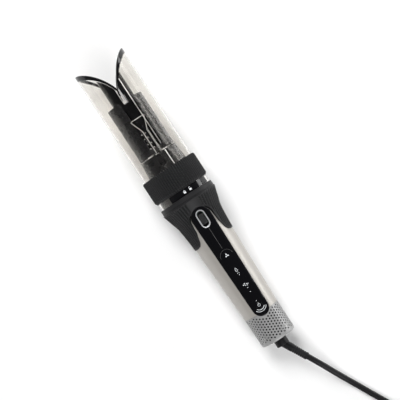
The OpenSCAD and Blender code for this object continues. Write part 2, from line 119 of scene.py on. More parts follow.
def clear(name, color, roughness, ior=1.49):
    """Clear plastic whose shadow lets the light through."""
    material = finish(name, color, roughness, Transmission_Weight=1.0, IOR=ior)
    nodes, links = material.node_tree.nodes, material.node_tree.links
    rays = nodes.new("ShaderNodeLightPath")
    through = nodes.new("ShaderNodeBsdfTransparent")
    through.inputs["Color"].default_value = (*[c ** 0.5 for c in color], 1)
    mix = nodes.new("ShaderNodeMixShader")
    links.new(rays.outputs["Is Shadow Ray"], mix.inputs["Fac"])
    links.new(nodes["Principled BSDF"].outputs["BSDF"], mix.inputs[1])
    links.new(through.outputs["BSDF"], mix.inputs[2])
    links.new(mix.outputs["Shader"], nodes["Material Output"].inputs["Surface"])
    return material


SLOTS = {
    "champagne": finish("champagne", (0.44, 0.42, 0.39), 0.34, 0.3, bump=(4000, 0.06)),
    "black_rubber": finish("black_rubber", (0.017, 0.017, 0.018), 0.46, bump=(2500, 0.2),
                           Specular_IOR_Level=0.2),
    "black_gloss": finish("black_gloss", (0.003, 0.003, 0.004), 0.08),
    "grey_plastic": finish("grey_plastic", (0.50, 0.51, 0.52), 0.32, 0.35),
    "dark_plastic": finish("dark_plastic", (0.008, 0.008, 0.009), 0.42, bump=(3000, 0.15),
                           Specular_IOR_Level=0.25),
    "cap_grey": finish("cap_grey", (0.34, 0.34, 0.34), 0.40, 0.25, bump=(4000, 0.08)),
    "mesh": finish("mesh", (0.006, 0.006, 0.006), 0.9),
    "smoky_clear": clear("smoky_clear", (0.868, 0.853, 0.826), 0.02, 1.25),
    "clear": clear("clear", (0.97, 0.97, 0.97), 0.03),
    "barrel_black": finish("barrel_black", (0.004, 0.004, 0.005), 0.27,
                           Specular_IOR_Level=1.0),
    "column_black": finish("column_black", (0.004, 0.004, 0.005), 0.09),
    "socket_grey": finish("socket_grey", (0.085, 0.085, 0.083), 0.5),
    "board_green": finish("board_green", (0.02, 0.12, 0.05), 0.45),
    "motor_steel": finish("motor_steel", (0.55, 0.56, 0.58), 0.32, 1.0),
    "steel": finish("steel", (0.62, 0.63, 0.65), 0.28, 1.0),
    "bronze": finish("bronze", (0.62, 0.42, 0.20), 0.35, 1.0),
    "brass": finish("brass", (0.80, 0.60, 0.26), 0.30, 1.0),
    "nylon": finish("nylon", (0.70, 0.68, 0.62), 0.5),
    "mica": finish("mica", (0.55, 0.46, 0.30), 0.4),
    "heater_wire": finish("heater_wire", (0.42, 0.40, 0.38), 0.35, 1.0),
    "ceramic": finish("ceramic", (0.66, 0.62, 0.52), 0.45),
    "led_white": finish("led_white", (0.85, 0.88, 0.9), 0.25),
    "cord_black": finish("cord_black", (0.006, 0.006, 0.007), 0.46, bump=(2500, 0.15),
                         Specular_IOR_Level=0.2),
    "pin_nickel": finish("pin_nickel", (0.72, 0.71, 0.69), 0.2, 1.0),
}
for node in frame["nodes"].values():
    for i, material in enumerate(node.data.materials):
        if material.name.split(".")[0] in SLOTS:
            node.data.materials[i] = SLOTS[material.name.split(".")[0]]


# Mesh helpers


def loft(loops, around=False, loop_closed=True, caps=False):
    """Faces between loops of equal length. around joins the last loop to the first."""
    n = len(loops[0])
    points = np.concatenate([np.asarray(loop, float) for loop in loops])
    faces = []
    for i in range(len(loops) if around else len(loops) - 1):
        a, b = i * n, (i + 1) % len(loops) * n
        for k in range(n if loop_closed else n - 1):
            m = (k + 1) % n
            faces.append((a + k, a + m, b + m, b + k))
    if caps:
        faces.append(tuple(range(n)))
        faces.append(tuple(reversed(range((len(loops) - 1) * n, len(loops) * n))))
    return points, faces


def merged(*parts):
    """Several (points, faces) as one."""
    points, faces, start = [], [], 0
    for p, f in parts:
        points.append(p)
        faces += [tuple(start + i for i in face) for face in f]
        start += len(p)
    return np.concatenate(points), faces


def piece(name, shape, slot, body, *nodes, sharp=32, in_row_frame=False):
    """One object that moves with a body and stands for the CAD nodes."""
    points, faces = shape
    mesh = bpy.data.meshes.new(name)
    placed = np.asarray(points) if in_row_frame else laid(points)
    mesh.from_pydata(placed.tolist(), [], faces)
    work = bmesh.new()
    work.from_mesh(mesh)
    bmesh.ops.remove_doubles(work, verts=work.verts, dist=2e-6)
    bmesh.ops.recalc_face_normals(work, faces=work.faces)
    work.to_mesh(mesh)
    work.free()
    mesh.shade_smooth()
    mesh.set_sharp_from_angle(angle=math.radians(sharp))
    mesh.materials.append(SLOTS[slot])
    made = bpy.data.objects.new(name, mesh)
    bpy.context.scene.collection.objects.link(made)
    if body:
        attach(made, body)
    if nodes:
        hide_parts(*nodes)
    return made


def at(r, angle, z):
    """Point on a cylinder about the axis. Angle 0 is the front, positive toward +X."""
    return (r * math.sin(angle), -r * math.cos(angle), z)


def rounded(outline, radius, steps=3):
    """A closed outline of 2D points with its corners rounded."""
    corners = [np.array(p, float) for p in outline]
    made = []
    for i, p in enumerate(corners):
        before, after = corners[i - 1] - p, corners[(i + 1) % len(corners)] - p
        lb, la = np.linalg.norm(before), np.linalg.norm(after)
        turn = math.acos(max(-1, min(1, before @ after / (lb * la))))
        reach = min(radius / max(math.tan(turn / 2), 0.2), 0.45 * lb, 0.45 * la)
        start, end = p + before / lb * reach, p + after / la * reach
        for k in range(steps + 1):
            t = k / steps
            made.append((1 - t) ** 2 * start + 2 * t * (1 - t) * p + t * t * end)
    return made


def turned(outline, radius=0, first=0, last=360, sides=160):
    """A closed [radius, height] outline turned about the axis, as one solid."""
    outline = rounded(outline, radius) if radius else outline
    whole = last - first >= 360
    count = sides if whole else max(2, int(sides * (last - first) / 360)) + 1
    angles = [math.radians(first + (last - first) * i / (count if whole else count - 1))
              for i in range(count)]
    return loft([[at(max(r, 0), t, z) for r, z in outline] for t in angles],
                around=whole, caps=not whole)


def interpolated(table, z):
    """Radius at height z from [radius, height] pairs."""
    return float(np.interp(z, [p[1] for p in table], [p[0] for p in table]))


def smoothed(table, step=1.0, spread=2.5):
    """The same pairs, resampled and softened."""
    heights = np.arange(table[0][1], table[-1][1] + 1e-6, step)
    made = []
    for h in heights:
        room = min(spread, h - heights[0], heights[-1] - h)
        made.append([np.mean([interpolated(table, h + room * s) for s in
                              np.linspace(-1, 1, 9)]), h])
    return made


def inside(points, loop):
    """Which 2D points lie within a loop."""
    loop = np.asarray(loop)
    x, y = points[:, 0], points[:, 1]
    hit = np.zeros(len(points), bool)
    for (x0, y0), (x1, y1) in zip(loop, np.roll(loop, -1, axis=0)):
        crosses = (y0 > y) != (y1 > y)
        with np.errstate(divide="ignore", invalid="ignore"):
            cut = (x1 - x0) * (y - y0) / (y1 - y0) + x0
        hit ^= crosses & (x < cut)
    return hit


def shell(outer_loop, holes, top, bottom, step=0, seam=None):
    """A plate from a flat outline with holes. top and bottom map flat points to 3D."""
    loops = [np.asarray(l, float) for l in [outer_loop, *holes]]
    flat = list(np.concatenate(loops))
    edges, start = [], 0
    for l in loops:
        edges += [(start + i, start + (i + 1) % len(l)) for i in range(len(l))]
        start += len(l)
    if step:
        low, high = loops[0].min(0), loops[0].max(0)
        xs = np.arange(low[0] + step / 2, high[0], step)
        ys = np.arange(low[1] + step / 2, high[1], step)
        grid = np.array([(x, y) for x in xs for y in ys])
        keep = inside(grid, loops[0])
        for l in loops[1:]:
            keep &= ~inside(grid, l)
        grid = grid[keep]
        border = np.concatenate(loops)
        near = np.array([np.min(np.sum((border - g) ** 2, 1)) for g in grid])
        flat += list(grid[near > (0.55 * step) ** 2])
    made = delaunay_2d_cdt([Vector(p) for p in flat], edges, [], 0, 1e-6)
    points = np.array([tuple(p) for p in made[0]])
    centres = np.array([points[list(f)].mean(0) for f in made[2]])
    keep = inside(centres, loops[0])
    for l in loops[1:]:
        keep &= ~inside(centres, l)
    faces = [tuple(f) for f, k in zip(made[2], keep) if k]
    n = len(points)
    open_edges = {}
    for f in faces:
        for i in range(3):
            a, b = f[i], f[(i + 1) % 3]
            if open_edges.pop((b, a), None) is None:
                open_edges[(a, b)] = True
    walls = [(b, a, a + n, b + n) for a, b in open_edges
             if seam is None or not (seam(points[a]) and seam(points[b]))]
    return (np.array([top(*p) for p in points] + [bottom(*p) for p in points]),
            faces + [tuple(reversed([i + n for i in f])) for f in faces] + walls)


def circle(x, z, r, sides=24, first=0.0):
    return [(x + r * math.cos(first + 2 * math.pi * i / sides),
             z + r * math.sin(first + 2 * math.pi * i / sides)) for i in range(sides)]


def pill(x, z, width, height, sides=12):
    """Upright slot with round ends."""
    r = width / 2
    up = height / 2 - r
    return ([(x + r * math.cos(math.pi * i / sides), z + up + r * math.sin(math.pi * i / sides))
             for i in range(sides + 1)]
            + [(x - r * math.cos(math.pi * i / sides), z - up - r * math.sin(math.pi * i / sides))
               for i in range(sides + 1)])


def dense(line, step):
    """2D points along a line of straight runs, all but its last point."""
    made = []
    for (x0, z0), (x1, z1) in zip(line, line[1:]):
        count = max(1, int(math.hypot(x1 - x0, z1 - z0) / step))
        made += [(x0 + (x1 - x0) * i / count, z0 + (z1 - z0) * i / count)
                 for i in range(count)]
    return made


def stroke(line, width, closed=False):
    """Outline of a thin line drawn along 2D points."""
    line = np.asarray(line, float)
    n = len(line)
    sides = []
    for i in range(n):
        a = line[i - 1] if closed or i else line[0]
        b = line[(i + 1) % n] if closed or i < n - 1 else line[-1]
        d = (b - a) / np.linalg.norm(b - a)
        sides.append(np.array([-d[1], d[0]]) * width / 2)
    left, right = line + sides, line - sides
    return (left, right) if closed else (np.concatenate([left, right[::-1]]), None)


def arc(x, z, r, first, last, steps=14):
    return [(x + r * math.cos(math.radians(first + (last - first) * i / steps)),
             z + r * math.sin(math.radians(first + (last - first) * i / steps)))
            for i in range(steps + 1)]


# Handle: sleeve, glossy panel, grip collar

HANDLE = [[19, 32.2], [21.5, 110], [21.5, 158]]
PANEL_LOW, PANEL_HIGH = 28.4, 153.3
PANEL_R_LOW, PANEL_R_TOP = 8.75, 10.65
PANEL_R = smoothed([[19.3, 27.4], [21.85, 110], [22.6, 125], [23.7, 138], [24.6, 145],
                    [26.1, 151], [26.9, 154.4]])
GRIP = smoothed([[22.4, 117.7], [22.5, 119], [22.8, 125], [23.3, 131], [23.9, 138],
                 [24.9, 145], [26.8, 151], [28.8, 158], [30.35, 163]], 0.5, 1.5)
GRIP += [[30.35, 164]]
ARCH = [[9.5, 150], [11.8, 147.5], [13, 144], [13.6, 138], [14, 131], [14.6, 126],
        [15.5, 122], [17.2, 119.2], [20, 117.9], [26, 117.7]]
SWITCH_Z, SWITCH_R, SWITCH_TILT = 141, 24.15, math.radians(8.5)
BUTTON_Z, BUTTON_R = 39.7, 3.4


def panel_half_width(z, grow=0.0):
    top, low = PANEL_HIGH - PANEL_R_TOP, PANEL_LOW + PANEL_R_LOW
    if z > top:
        return math.sqrt(max(0, (PANEL_R_TOP + grow) ** 2 - (z - top) ** 2))
    if z < low:
        return math.sqrt(max(0, (PANEL_R_LOW + grow) ** 2 - (low - z) ** 2))
    return grow + float(np.interp(z, [low, top], [PANEL_R_LOW, PANEL_R_TOP]))


def panel_outline(grow=0.0, steps=22):
    top, low = PANEL_HIGH - PANEL_R_TOP, PANEL_LOW + PANEL_R_LOW
    sides = np.linspace(low, top, 90)[1:-1]
    return (circle(0, top, PANEL_R_TOP + grow, 2 * steps)[:steps + 1]
            + [(-panel_half_width(z, grow), z) for z in sides[::-1]]
            + [(x, 2 * low - z) for x, z in
               [(-p[0], p[1]) for p in circle(0, low, PANEL_R_LOW + grow, 2 * steps)[:steps + 1]]]
            + [(panel_half_width(z, grow), z) for z in sides])


def on_radius(x, z, radius):
    """The point seen from the front at x and z, on a surface of that radius."""
    return (x, -math.sqrt(max(0.01, radius * radius - x * x)), z)


heights = sorted({32.2, *np.linspace(33, 142, 60), *np.linspace(142.6, 153.39, 24), 153.4, 158})
rows = []
for z in heights:
    r = interpolated(HANDLE, z)
    gap = math.asin(panel_half_width(z, 0.1) / r) if z < 153.4 else 0
    turns = np.linspace(gap, 2 * math.pi - gap, 150)
    rows.append([at(r, t, z) for t in turns] + [at(r - 1.6, t, z) for t in turns[::-1]])
piece("handle_sleeve_shape", loft(rows, caps=True), "champagne", "handle", "handle_sleeve")

EDGE = 0.35
outline = np.array(panel_outline(-EDGE))
holes = [pill(0, SWITCH_Z, 8.6, 18.6), circle(0, BUTTON_Z, BUTTON_R + 0.15, 40)]
face = shell(outline, holes, lambda x, z: on_radius(x, z, interpolated(PANEL_R, z)),
             lambda x, z: on_radius(x, z, interpolated(PANEL_R, z) - 1.5), step=1.1)
rim = []
for grow, drop in [(-EDGE, 0), (-0.24, 0.03), (-0.12, 0.11), (-0.04, 0.23), (0, 0.38),
                   (0, 1.5), (-EDGE, 1.5)]:
    rim.append([on_radius(x, z, interpolated(PANEL_R, z) - drop)
                for x, z in panel_outline(grow)])
panel = merged(face, loft(rim))
piece("control_panel_shape", panel, "black_gloss", "handle", "control_panel", sharp=50)


def on_switch(points):
    """Points drawn flat at the switch, [x, up, out], to the tool."""
    c, s = math.cos(SWITCH_TILT), math.sin(SWITCH_TILT)
    return np.array([(x, -SWITCH_R - out * c - up * s, SWITCH_Z + up * c - out * s)
                     for x, up, out in points])


def pill_ring(levels):
    """A closed loft of pills: [width, height, out] for each level."""
    return loft([on_switch([(x, z, out) for x, z in pill(0, 0, w, h)])
                 for w, h, out in levels], around=True)


piece("switch_frame", pill_ring([
    (9.6, 19.6, -1.8), (9.6, 19.6, 0.15), (9.35, 19.35, 0.4), (8.9, 18.9, 0.5),
    (7.9, 17.9, 0.5), (7.45, 17.45, 0.35), (7.3, 17.3, 0.0), (7.3, 17.3, -1.8)]),
      "grey_plastic", "handle", "switch_bezel")

slider = [loft([on_switch([(x, z, out) for x, z in pill(0, 0, w, h)]) for w, h, out in
                [(6.7, 12.6, -2.6), (6.7, 12.6, -0.5), (6.2, 12.1, -0.2)]], caps=True)]
for i in range(-3, 4):
    ridge = rounded([(-0.45, -0.4), (0.45, -0.4), (0.35, 0.8), (-0.35, 0.8)], 0.25)
    slider.append(loft([on_switch([(x, 1.5 * i + u, out) for u, out in ridge])
                        for x in (-2.8, 2.8)], caps=True))
slider.append(loft([on_switch([(x, u, out) for x, u in [(-1, -1), (1, -1), (1, 1), (-1, 1)]])
                    for out in (-6.2, -2.5)], caps=True))
piece("switch_slider_shape", merged(*slider), "black_gloss", "direction_switch",
      "switch_slider")

button = []
for r, out in [(1.2, 17), (1.2, 17.5), (BUTTON_R, 17.5), (BUTTON_R, 19.35),
               (BUTTON_R - 0.15, 19.52), (BUTTON_R - 0.4, 19.58), (BUTTON_R - 0.9, 19.45),
               (1.6, 19.2), (0.8, 19.1)]:
    button.append([(x, -out, z) for x, z in circle(0, BUTTON_Z, r, 48)])
piece("power_button_shape", loft(button, caps=True), "black_gloss", "power_key",
      "power_button")


def grip_floor(x, front):
    """Lowest height of the grip at a distance x from the middle."""
    x = abs(x)
    edge = 150 if x < 9.5 else float(np.interp(x, [p[0] for p in ARCH],
                                                [p[1] for p in ARCH]))
    if front and x < PANEL_R_TOP + 0.15:
        top = PANEL_HIGH - PANEL_R_TOP
        edge = max(edge, top + math.sqrt((PANEL_R_TOP + 0.15) ** 2 - x * x))
    return edge


# Angles that follow the arch closely
arch_line = dense(ARCH, 0.7) + [ARCH[-1]]
quarter = [math.asin(x / interpolated(GRIP, 151.5)) for x in np.linspace(0, 9.4, 20)]
for x, z in arch_line:
    r = interpolated(GRIP, z)
    if x < r * 0.985:
        quarter.append(math.asin(x / r))
quarter += list(np.radians(np.linspace(81, 90, 9)))
quarter = sorted(q for i, q in enumerate(quarter) if all(abs(q - p) > 2e-4 for p in quarter[:i]))
RIBS, RIB_DEPTH = 56, 1.25
rib_turns = {round(t, 4) for t in np.arange(0, 2 * math.pi, 2 * math.pi / (RIBS * 8))}
turns = set()
for q in quarter:
    turns |= {q, math.pi - q, math.pi + q, 2 * math.pi - q}
turns = sorted(t for t in turns | rib_turns if 0 <= t < 2 * math.pi - 1e-4)
turns = [t for i, t in enumerate(turns) if not i or t - turns[i - 1] > 3e-4]
GROOVE = [0, 0, 0.12, 0.6, 1, 1, 0.6, 0.12]


def groove(turn, ribs):
    """Depth of the groove at a turn, 0 on a rib and 1 between ribs."""
    phase = turn * ribs / (2 * math.pi) % 1 * 8
    k = int(phase) % 8
    return GROOVE[k] + (GROOVE[(k + 1) % 8] - GROOVE[k]) * (phase - int(phase))


def fade(value, low, high):
    t = min(1, max(0, (value - low) / (high - low)))
    return t * t * (3 - 2 * t)


columns = []
for t in turns:
    front = math.cos(t) > 0
    x = abs(math.sin(t)) * 26
    floor = grip_floor(x, front)
    for _ in range(4):
        x = abs(math.sin(t)) * interpolated(GRIP, floor)
        floor = grip_floor(x, front)
    column = []
    spread = [0, 0.05, 0.15, 0.3, 0.5, *np.linspace(1.2, 163 - floor, 26)]
    for up in spread:
        z = floor + up
        r = interpolated(GRIP, z)
        side = abs(math.sin(t)) * r
        clear_of_middle = fade(side, 6, 9.5) if front else 1
        clear_of_arch = 1 if z > 151 else fade(
            side - float(np.interp(-z, [-p[1] for p in ARCH], [p[0] for p in ARCH])), 0.6, 1.6)
        ribbed = clear_of_middle * clear_of_arch * fade(up, 0.8, 2.5) * fade(163 - z, 0.3, 1.2)
        lip = 0.5 * (1 - math.sqrt(max(0, 1 - (1 - min(up, 0.5) / 0.5) ** 2)))
        depth = min(RIB_DEPTH, r - 21.62)
        column.append(at(r - depth * groove(t, RIBS) * ribbed - lip, t, z))
    column += [at(30.3, t, 163.7), at(30.0, t, 164), at(26, t, 164), at(26, t, 160.5),
               at(21.55, t, 160.5), at(21.55, t, floor)]
    columns.append(column)
piece("grip_collar_shape", loft(columns, around=True), "black_rubber", "handle",
      "grip_collar", sharp=38)
piece("collar_lip_shape", turned([(28.3, 164), (29.7, 164), (29.6, 169.3), (28.3, 169.3)], 0.5),
      "black_rubber", "handle", "collar_lip")

# Symbols on the panel and painted highlights on it: thin plates that stand proud of the gloss


def mark(shapes, radius, lift=0.06):
    """Outlines, each with its holes, as thin plates on a surface of that radius."""
    made = []
    for outer, *inner in shapes:
        made.append(shell(outer, inner, lambda x, z: on_radius(x, z, radius(z) + lift),
                          lambda x, z: on_radius(x, z, radius(z) - 0.1)))
    return merged(*made)


def panel_r(z):
    return interpolated(PANEL_R, z)


def blade(x, z, turn, length, width):
    """A leaf-shaped fan blade."""
    line = []
    for i in range(17):
        t = 2 * math.pi * i / 16
        u, v = length / 2 * (1 + math.cos(t)), width / 2 * math.sin(t) * (1.2 - 0.5 * math.cos(t))
        c, s = math.cos(turn), math.sin(turn)
        line.append((x + (u + 0.35) * c - v * s, z + (u + 0.35) * s + v * c))
    return line[:-1]


SYMBOLS_AND_GLINTS = [[blade(0, 98, math.radians(a), 1.9, 0.9)] for a in (90, 210, 330)]
SYMBOLS_AND_GLINTS += [[blade(-1.3, 64.3, math.radians(a), 1.4, 0.7)] for a in (60, 180, 300)]
SYMBOLS_AND_GLINTS += [[blade(1.4, 63.5, math.radians(a), 1.2, 0.6)] for a in (0, 120, 240)]
drop = [(0, 83.4), (0.5, 82.4), (0.95, 81.4), (1.05, 80.6), (0.85, 79.9), (0.4, 79.4), (0, 79.3),
        (-0.4, 79.4), (-0.85, 79.9), (-1.05, 80.6), (-0.95, 81.4), (-0.5, 82.4)]
left, right = stroke(drop, 0.35, closed=True)
big, small = (left, right) if np.ptp(left[:, 0]) > np.ptp(right[:, 0]) else (right, left)
SYMBOLS_AND_GLINTS.append([big, small])
SYMBOLS_AND_GLINTS.append([stroke(arc(0, 75.5, 1.9, 55, 125), 0.35)[0]])
SYMBOLS_AND_GLINTS += [[circle(0, z, 0.38, 14)] for z in (75.4, 60.2, 55.6, 44.7)]
# Two white arcs below the power button: painted reflections of the light in the dish around the
# button
SYMBOLS_AND_GLINTS.append([stroke(arc(0, BUTTON_Z, 5.0, 215, 325), 0.5)[0]])
SYMBOLS_AND_GLINTS.append([stroke(arc(0, BUTTON_Z, 7.0, 212, 328), 0.42)[0]])
piece("panel_symbols_and_glints", mark(SYMBOLS_AND_GLINTS, panel_r), "led_white", "handle")
# Painted highlights: a grey arc where the top edge of the panel's inner pad catches the light,
# and a grey line for a strip light's reflection down the panel's middle
pad = arc(0, 97.5, 6.6, 0, 180, 26)
PANEL_GLINTS = [[stroke(pad, 0.22)[0]], [stroke([(0, z) for z in np.linspace(106, 130, 9)], 0.3)[0]]]
piece("panel_glint_lines", mark(PANEL_GLINTS, panel_r, 0.02), "socket_grey", "handle")
power = [stroke(arc(0, BUTTON_Z, 1.25, 125, 415, 20), 0.3)[0]]
stem = [stroke([(0, BUTTON_Z + 0.4), (0, BUTTON_Z + 1.6)], 0.3)[0]]
piece("power_mark", merged(*[shell(s[0], [], lambda x, z: (x, -19.34, z),
                                   lambda x, z: (x, -19.0, z)) for s in (power, stem)]),
      "led_white", "power_key")

# Intake cap with staggered round holes

CAP_R, CAP_H, CAP_WALL = 19, 32, 0.5
COLUMNS, PITCH, HOLE_R = 40, 3.05, 0.95
around = 2 * math.pi * CAP_R
notch_centre, notch_r = PANEL_LOW + PANEL_R_LOW, PANEL_R_LOW + 0.35


def cap_point(s, z, depth):
    """Point of the cap's wall at arc length s. The bottom edge is rounded."""
    edge = max(0, 1.5 - z)
    bend = 1.5 - math.sqrt(max(0, 1.5 ** 2 - edge ** 2))
    return at(CAP_R - bend - depth, s / CAP_R, z)


half = around / 2
notch_s = [(CAP_R * math.asin(x / CAP_R), z) for x, z in
           [(notch_r * math.cos(t), notch_centre + notch_r * math.sin(t))
            for t in np.linspace(math.radians(-35), math.radians(-145), 40)]]
notch_s = [p for p in notch_s if p[1] < CAP_H]
side = CAP_R * math.asin(math.sqrt(notch_r ** 2 - (notch_centre - CAP_H) ** 2) / CAP_R)
top_line = [(s, CAP_H) for s in np.linspace(half, side, 60)]
bottom = [(s, 1.6) for s in np.linspace(-half, half, 140)]
flat = bottom + top_line + notch_s + [(-s, z) for s, z in reversed(top_line)]
cap_holes = []
for i in range(COLUMNS):
    s = (i - COLUMNS / 2 + 0.5) * around / COLUMNS
    for k in range(9):
        z = 4.3 + PITCH * (k + 0.5 * (i % 2))
        x = CAP_R * math.sin(s / CAP_R)
        if abs(s) < 12 and math.hypot(x, z - notch_centre) < notch_r + 1.3:
            continue
        if z < CAP_H - 1.6:
            cap_holes.append(circle(s, z, HOLE_R, 12, first=0.1))
wall = shell(flat, cap_holes, lambda s, z: cap_point(s, z, 0),
             lambda s, z: cap_point(s, z, CAP_WALL), seam=lambda p: abs(abs(p[0]) - half) < 1e-4)
base = turned([(CAP_R, 1.6), (CAP_R - 0.05, 1.15), (CAP_R - 0.28, 0.65), (CAP_R - 0.75, 0.2),
               (CAP_R - 1.5, 0), (8.9, 0), (8.6, 0.3), (8.6, 2), (CAP_R - CAP_WALL, 2),
               (CAP_R - CAP_WALL, 1.6)], sides=139)
piece("intake_cap_shape", merged(wall, base), "cap_grey", "cap", "intake_cap",
      "cap_base", sharp=40)

# Guard: clear tube, dark lips, ribbed ring

GUARD_R, GUARD_IN, GUARD_LOW, GUARD_HIGH = 28, 26.4, 166, 328
LIP_R, LIP_X, LIP_Z = 66.5, 63.5, 271.9
TRIM_R, TRIM_X, TRIM_Z = 52.6, 52.6, 276.1
SLIT, SLIT_LOW, TRIM_LOW, TRIM_W = 3.8, 276, 285.7, 0.8


def tulip(x, r, centre_x, centre_z):
    """Height of the arc at a distance x from the middle."""
    return centre_z + math.sqrt(max(0, r * r - (centre_x - abs(x)) ** 2))


def guard_turns(inner, outer=GUARD_R):
    """Turns for one quarter, close together near the slit."""
    near = [math.asin(x / outer) for x in np.linspace(inner, 12, 24)]
    return near + list(np.linspace(near[-1], math.pi / 2, 24)[1:])


def round_the_tool(quarter):
    """A quarter's turns repeated for the right side, front to back."""
    return quarter + [math.pi - t for t in reversed(quarter[:-1])]


def mirrored(points):
    return [(-x, y, z) for x, y, z in points]


slit_turns = [math.asin(x / GUARD_R) for x in np.linspace(0, SLIT / 2, 7)]
MID = SLIT_LOW + SLIT / 2
tube = []
for t, in_slit in ([(t, True) for t in slit_turns]
                   + [(t, False) for t in round_the_tool(guard_turns(SLIT / 2))]
                   + [(math.pi - t, True) for t in reversed(slit_turns)]):
    x = GUARD_R * math.sin(t)
    dip = math.sqrt(max(0, (SLIT / 2) ** 2 - x * x))
    middle = MID - dip if in_slit else MID
    top = middle if in_slit else tulip(x, TRIM_R, TRIM_X, TRIM_Z)
    levels = [*np.linspace(GUARD_LOW, middle, 12), *np.linspace(middle, top, 7)[1:]]
    tube.append([at(GUARD_R, t, z) for z in levels]
                + [at(GUARD_IN, t, z) for z in reversed(levels)])
tube_all = tube + [mirrored(c) for c in reversed(tube)]
piece("guard_tube_shape", loft(tube_all, around=True), "smoky_clear", "guard", "guard_tube")

trim = []
inner_turns = [math.asin(x / GUARD_R) for x in
               np.linspace(SLIT / 2 - TRIM_W, SLIT / 2, 4)]
BASE_MID = tulip(SLIT / 2, TRIM_R, TRIM_X, TRIM_Z)
for t, on_edge in ([(t, True) for t in inner_turns]
                   + [(t, False) for t in round_the_tool(guard_turns(SLIT / 2))]
                   + [(math.pi - t, True) for t in reversed(inner_turns)]):
    x = GUARD_R * math.sin(t)
    top = min(GUARD_HIGH, tulip(x, LIP_R, LIP_X, LIP_Z))
    low = TRIM_LOW if on_edge else tulip(x, TRIM_R, TRIM_X, TRIM_Z)
    middle = BASE_MID if on_edge else low
    levels = [*np.linspace(low, middle, 5), *np.linspace(middle, top - 0.4, 5)[1:]]
    out, into = GUARD_R + 0.04, GUARD_IN - 0.04
    trim.append([at(out, t, z) for z in levels]
                + [at(out - 0.1, t, top - 0.15), at(out - 0.35, t, top),
                   at(into + 0.35, t, top), at(into + 0.1, t, top - 0.15)]
                + [at(into, t, z) for z in reversed(levels)])
piece("lip_trim_shape", merged(loft(trim, caps=True),
                               loft([mirrored(c) for c in trim], caps=True)),
      "black_gloss", "guard", "lip_trim", sharp=40)

RING = [[28.6, 176.3], [29.5, 177.5], [30.2, 178.5], [30.35, 178.9], [30.35, 179.6],
        [30.35, 190], [30.35, 200.2], [30.2, 200.8], [29.9, 201.3], [29.3, 201.7]]
RING_RIBS, RING_GROOVE = 76, 1.2
columns = []
for i in range(RING_RIBS * 8):
    t = 2 * math.pi * i / (RING_RIBS * 8)
    column = [at(28.1, t, 176.3)]
    for r, z in RING:
        ribbed = fade(z, 176.2, 177.6) * fade(201.8 - z, 0, 0.8)
        column.append(at(r - RING_GROOVE * GROOVE[i % 8] * ribbed, t, z))
    columns.append(column + [at(28.1, t, 201.7)])
piece("lock_ring_shape", loft(columns, around=True), "black_rubber", "ring", "lock_ring",
      sharp=45)

piece("lock_band", turned([(28, 169.6), (28.15, 169.6), (28.15, 175.9), (28, 175.9)],
                          first=-37, last=62), "column_black", "guard", "lock_mark_band")


def padlock(x, z, opened):
    """Body and shackle of a small padlock."""
    r = 0.8
    lift = 0.5 if opened else 0
    body = [(x - 1.2, z - 1.6), (x + 1.2, z - 1.6), (x + 1.2, z + 0.3), (x - 1.2, z + 0.3)]
    legs = arc(x, z + 0.6 + lift, r, -10 if not opened else 40, 180, 12)
    legs = [*legs, (x - r, z + 0.2)] if opened else [(x + r, z + 0.2), *legs, (x - r, z + 0.2)]
    return [[rounded(body, 0.3)], [stroke(legs, 0.35)[0]]]


piece("lock_marks", mark(padlock(-0.9, 172.9, False) + padlock(5.6, 172.9, True),
                         lambda z: 28.15), "led_white", "guard")

# Barrel, column, hair guide and base inside the guard

BARREL_R, BARREL_LOW, BARREL_HIGH = 19.65, 221.2, 281
BARREL_SLOT, BARREL_TURN = 15, 4
COLUMN_R, COLUMN_SLOT, COLUMN_DROP = 12.5, 4.4, 0.7
BARREL_FOOT, BARREL_IN = 226, BARREL_R - 1.75
slot_edge = math.degrees(math.asin(BARREL_SLOT / 2 / BARREL_R))
barrel_wall = rounded([(BARREL_R, BARREL_FOOT), (BARREL_R, BARREL_HIGH),
                       (BARREL_IN, BARREL_HIGH), (BARREL_IN, BARREL_FOOT)], 0.5)
barrel_foot = [(BARREL_R, BARREL_LOW), (BARREL_R, BARREL_FOOT), (BARREL_IN, BARREL_FOOT),
               (BARREL_IN, BARREL_LOW)]
# Each half: its node, the turns of its wall beside the slot, and those of its foot
for name, wall_turns, foot_turns in (
        ("barrel_right", (slot_edge, 179.9), (0.1, 179.9)),
        ("barrel_left", (180.1, 360 - slot_edge), (180.1, 359.9))):
    halves = [turned(outline, first=first + BARREL_TURN, last=last + BARREL_TURN)
              for outline, (first, last) in ((barrel_wall, wall_turns),
                                             (barrel_foot, foot_turns))]
    piece(name + "_shape", merged(*halves), "barrel_black", "spindle", name)

# The column's halves beside its slot, with tops cut as the guard's lips are
COLUMN_LOW, COLUMN_JOIN, SKIN = 224, 277, 0.3
halves = []
for side in (1, -1):
    xs = np.concatenate([np.linspace(COLUMN_SLOT / 2, 12.2, 36),
                         COLUMN_R * np.sin(np.linspace(math.asin(12.25 / COLUMN_R),
                                                       math.pi / 2, 8))])
    columns = []
    for sign in (-1, 1):
        for x in xs if sign < 0 else xs[-2::-1]:
            y = sign * math.sqrt(max(0, COLUMN_R ** 2 - x * x))
            inward = 1 - SKIN / COLUMN_R
            top, top_in = (tulip(at_x, LIP_R - COLUMN_DROP, LIP_X, LIP_Z)
                           for at_x in (x, x * inward))
            columns.append([(side * x, y, z) for z in np.linspace(COLUMN_JOIN, top - 0.25, 8)]
                           + [(side * max(x * inward, COLUMN_SLOT / 2), y * inward, top_in)])
    points, faces = loft(columns, around=True, loop_closed=False)
    rows = len(columns[0])
    ends = [i * rows + rows - 1 for i in range(len(columns))]
    for i in range(len(xs) - 1):
        a, b, c, d = ends[i], ends[i + 1], ends[-2 - i], ends[-1 - i]
        faces = faces + [(a, b, c, d) if b != c else (a, b, d)]
    halves.append((points, faces))
